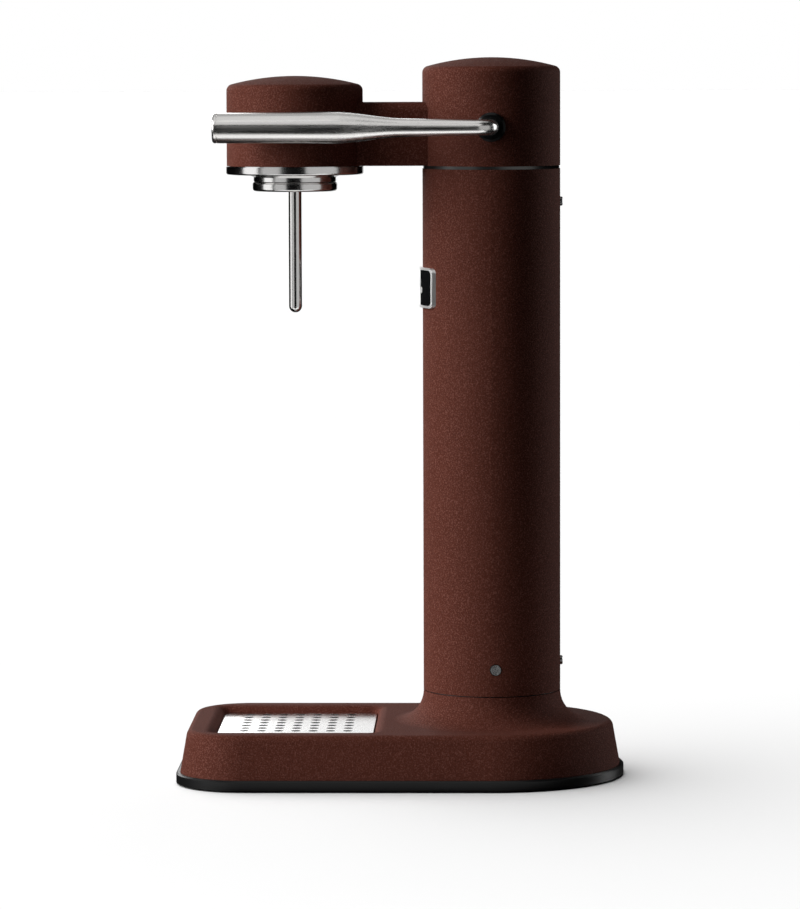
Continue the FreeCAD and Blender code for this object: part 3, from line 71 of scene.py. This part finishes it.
class Shader:
    """One node material, with short calls for the nodes it is made of."""

    def __init__(self, name, metallic=0.0):
        self.material = bpy.data.materials.new(name)
        self.material.use_nodes = True
        self.tree = self.material.node_tree
        self.surface = self.tree.nodes["Principled BSDF"]
        self.surface.inputs["Metallic"].default_value = metallic
        self.place = self.node("ShaderNodeTexCoord").outputs["Object"]

    def node(self, kind, **settings):
        made = self.tree.nodes.new(kind)
        for key, value in settings.items():
            setattr(made, key, value)
        return made

    def link(self, output, socket):
        self.tree.links.new(output, socket)

    def stretched(self, scale):
        """Object coordinates with a scale of their own along each axis."""
        mapping = self.node("ShaderNodeMapping")
        mapping.inputs["Scale"].default_value = scale
        self.link(self.place, mapping.inputs["Vector"])
        return mapping.outputs["Vector"]

    def noise(self, scale, detail=2.0, roughness=0.5, place=None):
        made = self.node("ShaderNodeTexNoise")
        made.inputs["Scale"].default_value = scale
        made.inputs["Detail"].default_value = detail
        made.inputs["Roughness"].default_value = roughness
        self.link(place or self.place, made.inputs["Vector"])
        return made.outputs["Fac"]

    def lines(self, scales, detail=2.0, roughness=0.5):
        """Noise drawn out into lines: it changes fast along the axes with a large scale."""
        return self.noise(1.0, detail, roughness, self.stretched(scales))

    def ranged(self, value, to_low=0.0, to_high=1.0, from_low=NOISE_LOW, from_high=NOISE_HIGH):
        """The value carried from one range to another, and held at its ends."""
        made = self.node("ShaderNodeMapRange")
        made.inputs["From Min"].default_value = from_low
        made.inputs["From Max"].default_value = from_high
        made.inputs["To Min"].default_value = to_low
        made.inputs["To Max"].default_value = to_high
        self.link(value, made.inputs["Value"])
        return made.outputs["Result"]

    def maths(self, operation, first, second):
        made = self.node("ShaderNodeMath", operation=operation)
        for socket, value in zip(made.inputs, (first, second)):
            if isinstance(value, (int, float)):
                socket.default_value = value
            else:
                self.link(value, socket)
        return made.outputs[0]

    def mixed(self, amount, first, second):
        """Blend of two colours, each a colour or another node's output."""
        made = self.node("ShaderNodeMix", data_type="RGBA")
        sockets = [socket for socket in made.inputs if socket.type == "RGBA"]
        factor = next(socket for socket in made.inputs if socket.type == "VALUE")
        self.link(amount, factor)
        for socket, value in zip(sockets, (first, second)):
            if isinstance(value, tuple):
                socket.default_value = (*value, 1.0)
            else:
                self.link(value, socket)
        return next(socket for socket in made.outputs if socket.type == "RGBA")

    def colour(self, output):
        self.link(output, self.surface.inputs["Base Color"])

    def roughness(self, output):
        self.link(output, self.surface.inputs["Roughness"])

    def specular(self, level):
        self.surface.inputs["Specular IOR Level"].default_value = level

    def bump(self, output, depth, strength):
        """Relief of the given depth in metres."""
        made = self.node("ShaderNodeBump")
        made.inputs["Strength"].default_value = strength
        made.inputs["Distance"].default_value = depth
        self.link(output, made.inputs["Height"])
        self.link(made.outputs["Normal"], self.surface.inputs["Normal"])


def scaled(colour, factor, added=0.0):
    return tuple(channel * factor + added for channel in colour)


# ---- materials ----
def powder_coat():
    """Sand-grained matt paint: small rounded grains, lighter specks and slow changes of tone."""
    look = Shader("powder_coat")
    grain = look.noise(scale=1350.0, roughness=0.6)
    fine = look.noise(scale=2400.0, roughness=0.6)
    broad = look.noise(scale=14.0, detail=3.0)
    slow = look.ranged(broad, from_low=0.35, from_high=0.65)
    pits = look.ranged(fine, to_low=0.8, to_high=0.0, from_low=0.36, from_high=0.5)
    specks = look.ranged(grain, to_high=0.7, from_low=0.5, from_high=0.66)
    tone = look.mixed(slow, (0.098, 0.0235, 0.013), (0.107, 0.0265, 0.015))
    tone = look.mixed(pits, tone, (0.05, 0.01, 0.005))
    look.colour(look.mixed(specks, tone, (0.235, 0.088, 0.068)))
    look.roughness(look.ranged(fine, to_low=0.72, to_high=0.88))
    relief = look.maths("ADD", grain, look.maths("MULTIPLY", fine, 0.4))
    look.bump(relief, depth=0.0004, strength=0.55)
    look.specular(0.14)
    return look.material


def brushed_steel(name, along, tint=(0.72, 0.705, 0.69), rough=(0.20, 0.32)):
    """Steel with fine brush lines and a few broader scratches that run along one axis."""
    look = Shader(name, metallic=1.0)
    brushing = look.lines([26.0 if axis == along else 5200.0 for axis in range(3)], detail=3.0, roughness=0.7)
    scratches = look.lines([9.0 if axis == along else 1400.0 for axis in range(3)])
    broad = look.noise(scale=30.0)
    look.colour(look.mixed(look.ranged(brushing), scaled(tint, 0.86), tint))
    wear = look.ranged(broad, to_low=-0.02, to_high=0.02)
    look.roughness(look.maths("ADD", look.ranged(scratches, *rough), wear))
    look.bump(brushing, depth=0.000012, strength=0.6)
    return look.material


def turned_steel(name, tint=(0.78, 0.77, 0.76), rough=(0.14, 0.2)):
    """Polished steel with very faint turning marks round an upright axis."""
    look = Shader(name, metallic=1.0)
    broad = look.noise(scale=60.0, detail=3.0)
    marks = look.lines((300.0, 300.0, 9000.0))
    look.colour(look.mixed(look.ranged(broad), scaled(tint, 0.95), tint))
    look.roughness(look.ranged(broad, *rough))
    look.bump(marks, depth=0.000003, strength=0.4)
    return look.material


def moulded_plastic(name, colour, rough, grain=900.0, depth=0.00003):
    """Satin moulded plastic with a fine spark-eroded grain."""
    look = Shader(name)
    texture = look.noise(scale=grain, detail=3.0, roughness=0.6)
    broad = look.noise(scale=25.0)
    look.colour(look.mixed(look.ranged(broad), colour, scaled(colour, 1.35, added=0.002)))
    look.roughness(look.ranged(broad, *rough))
    look.bump(texture, depth, strength=0.5)
    return look.material


def rubber(name, colour):
    """Dull rubber with an open grain."""
    look = Shader(name)
    texture = look.noise(scale=700.0, detail=4.0, roughness=0.65)
    look.colour(look.mixed(look.ranged(texture), colour, scaled(colour, 1.5)))
    look.roughness(look.ranged(texture, to_low=0.7, to_high=0.88))
    look.bump(texture, depth=0.00008, strength=0.6)
    return look.material


def cast_alloy():
    """Die-cast alloy with a coarse grey skin."""
    look = Shader("cast_alloy", metallic=1.0)
    texture = look.noise(scale=500.0, detail=5.0, roughness=0.65)
    look.colour(look.mixed(look.ranged(texture), (0.34, 0.34, 0.35), (0.47, 0.47, 0.48)))
    look.roughness(look.ranged(texture, to_low=0.42, to_high=0.6))
    look.bump(texture, depth=0.0001, strength=0.6)
    return look.material


def brass():
    """Turned brass with marks round an upright axis and darker stains."""
    look = Shader("turned_brass", metallic=1.0)
    marks = look.lines((400.0, 400.0, 6000.0))
    stain = look.ranged(look.noise(scale=80.0, detail=4.0, roughness=0.6), from_low=0.35, from_high=0.65)
    look.colour(look.mixed(stain, (0.52, 0.35, 0.12), (0.68, 0.49, 0.2)))
    look.roughness(look.ranged(marks, to_low=0.2, to_high=0.36))
    look.bump(marks, depth=0.00001, strength=0.5)
    return look.material


def bottle_paint():
    """White gloss paint with a slight orange peel and patches of dust."""
    look = Shader("cylinder_paint")
    peel = look.noise(scale=220.0)
    dust = look.noise(scale=45.0, detail=5.0, roughness=0.65)
    dusty = look.ranged(dust, from_low=0.4, from_high=0.75)
    look.colour(look.mixed(dusty, (0.62, 0.63, 0.63), (0.5, 0.5, 0.48)))
    look.roughness(look.ranged(dust, to_low=0.16, to_high=0.34))
    look.bump(peel, depth=0.00006, strength=0.35)
    return look.material


ALONG_X, ALONG_Y, ALONG_Z = range(3)

MATERIALS = {
    "paint": powder_coat(),
    "plinth_plastic": moulded_plastic("plinth_plastic", (0.005, 0.005, 0.0052), (0.26, 0.34)),
    "rubber": rubber("foot_rubber", (0.02, 0.02, 0.02)),
    "seal_rubber": rubber("seal_rubber", (0.12, 0.12, 0.125)),
    "inner_plastic": moulded_plastic("inner_plastic", (0.02, 0.02, 0.021), (0.5, 0.6),
                                     grain=600.0, depth=0.00006),
    "brushed_steel": brushed_steel("brushed_steel", ALONG_Y),
    "polished_steel": turned_steel("polished_steel"),
    "screw_steel": brushed_steel("screw_steel", ALONG_Z, (0.55, 0.55, 0.55), (0.22, 0.36)),
    "spring_steel": brushed_steel("spring_steel", ALONG_Z, (0.35, 0.35, 0.36), (0.28, 0.42)),
    "brass": brass(),
    "cast_alloy": cast_alloy(),
    "cylinder_paint": bottle_paint(),
    "badge_black": moulded_plastic("badge_black", (0.004, 0.004, 0.0045), (0.12, 0.2),
                                   grain=1500.0, depth=0.000006),
    "hose_plastic": moulded_plastic("hose_plastic", (0.55, 0.55, 0.52), (0.35, 0.45),
                                    grain=500.0, depth=0.00002),
}

# Pieces whose finish differs from the rest of their slot. The seam ring's near-black tint is painted shade for
# the recessed groove it sits in.
FINISHES = {
    "badge_frame": brushed_steel("badge_steel", ALONG_X, (0.8, 0.79, 0.78), (0.4, 0.5)),
    "badge_motif": brushed_steel("motif_steel", ALONG_X, (0.85, 0.84, 0.83), (0.45, 0.55)),
    # Near-black tint on polished steel: painted shade of the groove round the seam ring.
    "seam_ring": turned_steel("seam_steel_painted_shade", (0.09, 0.088, 0.086), (0.3, 0.4)),
    "drip_grille": brushed_steel("grille_steel", ALONG_Y, (0.8, 0.79, 0.78), (0.14, 0.2)),
}


def dress_frame():
    """Gives every CAD node its own finish, or that of its slot in the record."""
    slots = {entry["node"]: entry["material_slot"] for entry in frame["record"]["subparts"]}
    for name, piece in frame["nodes"].items():
        piece.data.materials.clear()
        piece.data.materials.append(FINISHES.get(name) or MATERIALS[slots[name]])


# ---- springs ----
def pressed_spring(node):
    """A spring's coils as a piece of their own, carried by the housing in place of the hidden CAD node."""
    source = frame["nodes"][node]
    coils = bpy.data.objects.new(node + "_coils", source.data.copy())
    coils.matrix_world = source.matrix_world
    bpy.context.collection.objects.link(coils)
    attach(coils, "housing")
    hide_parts(node)
    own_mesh(coils)


def press_springs():
    for joint in frame["record"]["behaviour"]["joints"]:
        for entry in joint.get("deforming_nodes", []):
            pressed_spring(entry["node"])


# ---- studio ----
SOFT_BOX_DISTANCE = 1.9
CARD_DISTANCE = 1.5
SCREW_CARD_DISTANCE = 2.4
FLOOR_HALF = 60.0
# The two light panels at floor level lie just over the floor, one above the other.
BOUNCE_Z = FLOOR_Z + 0.0002
STRIP_Z = FLOOR_Z + 0.0004

TURNED_STEEL = ("trim_ring", "underside_dish", "bottle_collar", "nozzle_tube", "seam_ring")
LEVER_STEEL = ("lever_arm", "lever_end_cap")
BRIGHT_PANELS = ("drip_grille", "badge_frame", "badge_motif")
SCREW_FACES = ("side_screws", "rear_screws", "badge_motif")


def toward(azimuth, elevation, distance):
    """Place seen from the object's middle; azimuth 0 is the lever side and -90 the front."""
    turn, rise = math.radians(azimuth), math.radians(elevation)
    flat = math.cos(rise)
    return CENTRE + distance * Vector((flat * math.cos(turn), flat * math.sin(turn), math.sin(rise)))


def lit_only(light, name, pieces):
    """Keeps a light's effect to the given pieces."""
    group = bpy.data.collections.new(name)
    for piece in pieces:
        group.objects.link(piece)
    light.light_linking.receiver_collection = group


def area_light(name, place, size, radiance, pieces, aim=CENTRE):
    """Soft box that faces aim and lights the given pieces; radiance is how bright its face looks."""
    light = bpy.data.lights.new(name, "AREA")
    light.shape = "RECTANGLE"
    light.size, light.size_y = size
    light.energy = radiance * math.pi * size[0] * size[1]
    holder = bpy.data.objects.new(name, light)
    holder.location = place
    holder.rotation_euler = (aim - place).to_track_quat("-Z", "Y").to_euler()
    holder.visible_camera = False
    bpy.context.collection.objects.link(holder)
    lit_only(holder, "lit_" + name, pieces)


def floor_panel(name, x, z, size, radiance, pieces):
    """Light panel that lies on the floor and faces straight up."""
    area_light(name, Vector((x, 0.0, z)), size, radiance, pieces, aim=Vector((x, 0.0, 1.0)))


def pale_floor():
    """Even pale floor without a shine."""
    look = Shader("pale_floor")
    look.colour(look.mixed(look.noise(scale=3.0), (0.8, 0.8, 0.8), (0.82, 0.82, 0.82)))
    look.surface.inputs["Roughness"].default_value = 0.9
    look.specular(0.0)
    return look.material


def build_floor():
    """Wide plane that shows to the camera and takes shadows, and isn't mirrored in the metal."""
    mesh = bpy.data.meshes.new("floor")
    signs = ((-1, -1), (1, -1), (1, 1), (-1, 1))
    mesh.from_pydata([(x * FLOOR_HALF, y * FLOOR_HALF, FLOOR_Z) for x, y in signs], [], [(0, 1, 2, 3)])
    mesh.materials.append(pale_floor())
    floor = bpy.data.objects.new("floor", mesh)
    bpy.context.collection.objects.link(floor)
    floor.visible_diffuse = False
    floor.visible_glossy = False
    floor.visible_shadow = False
    return floor


def build_floor_light(floor):
    """Wide light from the upper left that reaches the floor alone, so that the floor stays pale."""
    sun = bpy.data.lights.new("floor_light", "SUN")
    sun.energy = 5.15
    sun.angle = math.radians(105)
    shining = Vector((0.3, 0.8, -1.0))
    holder = bpy.data.objects.new("floor_light", sun)
    holder.rotation_euler = shining.to_track_quat("-Z", "Y").to_euler()
    bpy.context.collection.objects.link(holder)
    lit_only(holder, "lit_floor", [floor])


def build_soft_lights():
    """A tall key from the front left, a weak wing beside it, a rim and a fill from behind, and soft fill."""
    matt = [piece for name, piece in frame["nodes"].items() if name not in TURNED_STEEL]
    far = SOFT_BOX_DISTANCE
    area_light("key", toward(-74, 20, far), (1.2, 1.4), 8.6, matt)
    area_light("key_wing", toward(-38, 7, far), (0.9, 1.5), 0.25, matt)
    area_light("rim", toward(118, 8, far), (0.8, 1.4), 2.9, matt)
    area_light("back_fill", toward(205, 25, far), (1.4, 1.4), 2.4, matt)
    area_light("overhead", Vector((0.3, 0.0, 1.6)), (1.0, 1.0), 0.4, matt, aim=Vector((0.1, 0.0, 0.2)))
    floor_panel("bounce", 0.19, BOUNCE_Z, (0.2, 0.7), 0.45, matt)


def build_lever_lights(lever):
    """Long boxes in front of, over and behind the lever, which lie as bright bands along it."""
    aim = Vector((0.05, 0.0, 0.3))
    area_light("steel_front", Vector((1.05, -0.1, 1.25)), (1.8, 0.8), 0.88, lever, aim)
    area_light("steel_top", Vector((-0.05, -0.1, 1.5)), (1.8, 1.3), 0.5, lever, aim)
    area_light("steel_behind", Vector((-1.1, -0.1, 1.0)), (1.8, 1.0), 0.4, lever, aim)


def build_card_lights(lever, turned, panels, screws):
    """Cards round the turned rings, and wide panels for the flat bright pieces."""
    near = CARD_DISTANCE
    area_light("ring_left", toward(-78, 0, near), (0.8, 1.6), 1.15, turned)
    area_light("ring_middle", toward(-40, 0, near), (0.9, 1.6), 0.55, turned)
    area_light("ring_right", toward(48, 0, near), (1.7, 1.6), 0.55, turned + lever)
    area_light("ring_far", toward(180, 8, near), (0.9, 1.6), 0.6, turned + lever)
    area_light("screw_card", toward(14, 2, SCREW_CARD_DISTANCE), (0.9, 0.9), 0.55, screws)
    area_light("steel_sky", Vector((0.0, 0.0, 2.2)), (9.0, 9.0), 0.6, panels + turned, aim=Vector())
    area_light("steel_back", Vector((-1.8, -0.1, 0.35)), (2.4, 0.9), 1.0, panels, aim=Vector((0.0, -0.1, 0.1)))
    floor_panel("steel_floor", 0.27, STRIP_Z, (0.3, 0.8), 1.1, lever + turned)


def build_steel_lights():
    """Lights that only the bright metal sees."""
    groups = [[frame["nodes"][name] for name in names]
              for names in (LEVER_STEEL, TURNED_STEEL, BRIGHT_PANELS, SCREW_FACES)]
    build_lever_lights(groups[0])
    build_card_lights(*groups)


def build_world():
    """White surroundings that only the camera sees."""
    world = bpy.data.worlds.new("studio")
    bpy.context.scene.world = world
    world.use_nodes = True
    world.node_tree.nodes["Background"].inputs["Color"].default_value = (1.0, 1.0, 1.0, 1.0)
    world.cycles_visibility.diffuse = False
    world.cycles_visibility.glossy = False
    bpy.context.scene.view_settings.view_transform = "Standard"


def build_studio():
    build_world()
    build_floor_light(build_floor())
    build_soft_lights()
    build_steel_lights()


# ---- camera ----
CAMERA_PLACE = (2.686, 0.0636, 0.4142)
CAMERA_YAW = math.radians(-1.37)
CAMERA_PITCH = math.radians(4.85)
CAMERA_ROLL = math.radians(-0.17)
CAMERA_LENS = 184.2
CAMERA_SENSOR = 36.0
CAMERA_REACH = 200.0


def build_camera():
    """Looks at the lever side from 2.7 m, a little above the base."""
    camera = bpy.data.cameras.new("camera")
    camera.sensor_width = CAMERA_SENSOR
    camera.lens = CAMERA_LENS
    camera.clip_end = CAMERA_REACH
    flat = math.cos(CAMERA_PITCH)
    forward = Vector((-math.cos(CAMERA_YAW) * flat, math.sin(CAMERA_YAW) * flat, -math.sin(CAMERA_PITCH)))
    level = Vector((math.sin(CAMERA_YAW), math.cos(CAMERA_YAW), 0.0))
    upright = level.cross(forward)
    right = math.cos(CAMERA_ROLL) * level + math.sin(CAMERA_ROLL) * upright
    top = math.cos(CAMERA_ROLL) * upright - math.sin(CAMERA_ROLL) * level
    turned = Matrix((right, top, -forward)).transposed().to_4x4()
    holder = bpy.data.objects.new("camera", camera)
    holder.matrix_world = Matrix.Translation(CAMERA_PLACE) @ turned
    bpy.context.collection.objects.link(holder)
    bpy.context.scene.camera = holder


dress_frame()
press_springs()
build_studio()
build_camera()
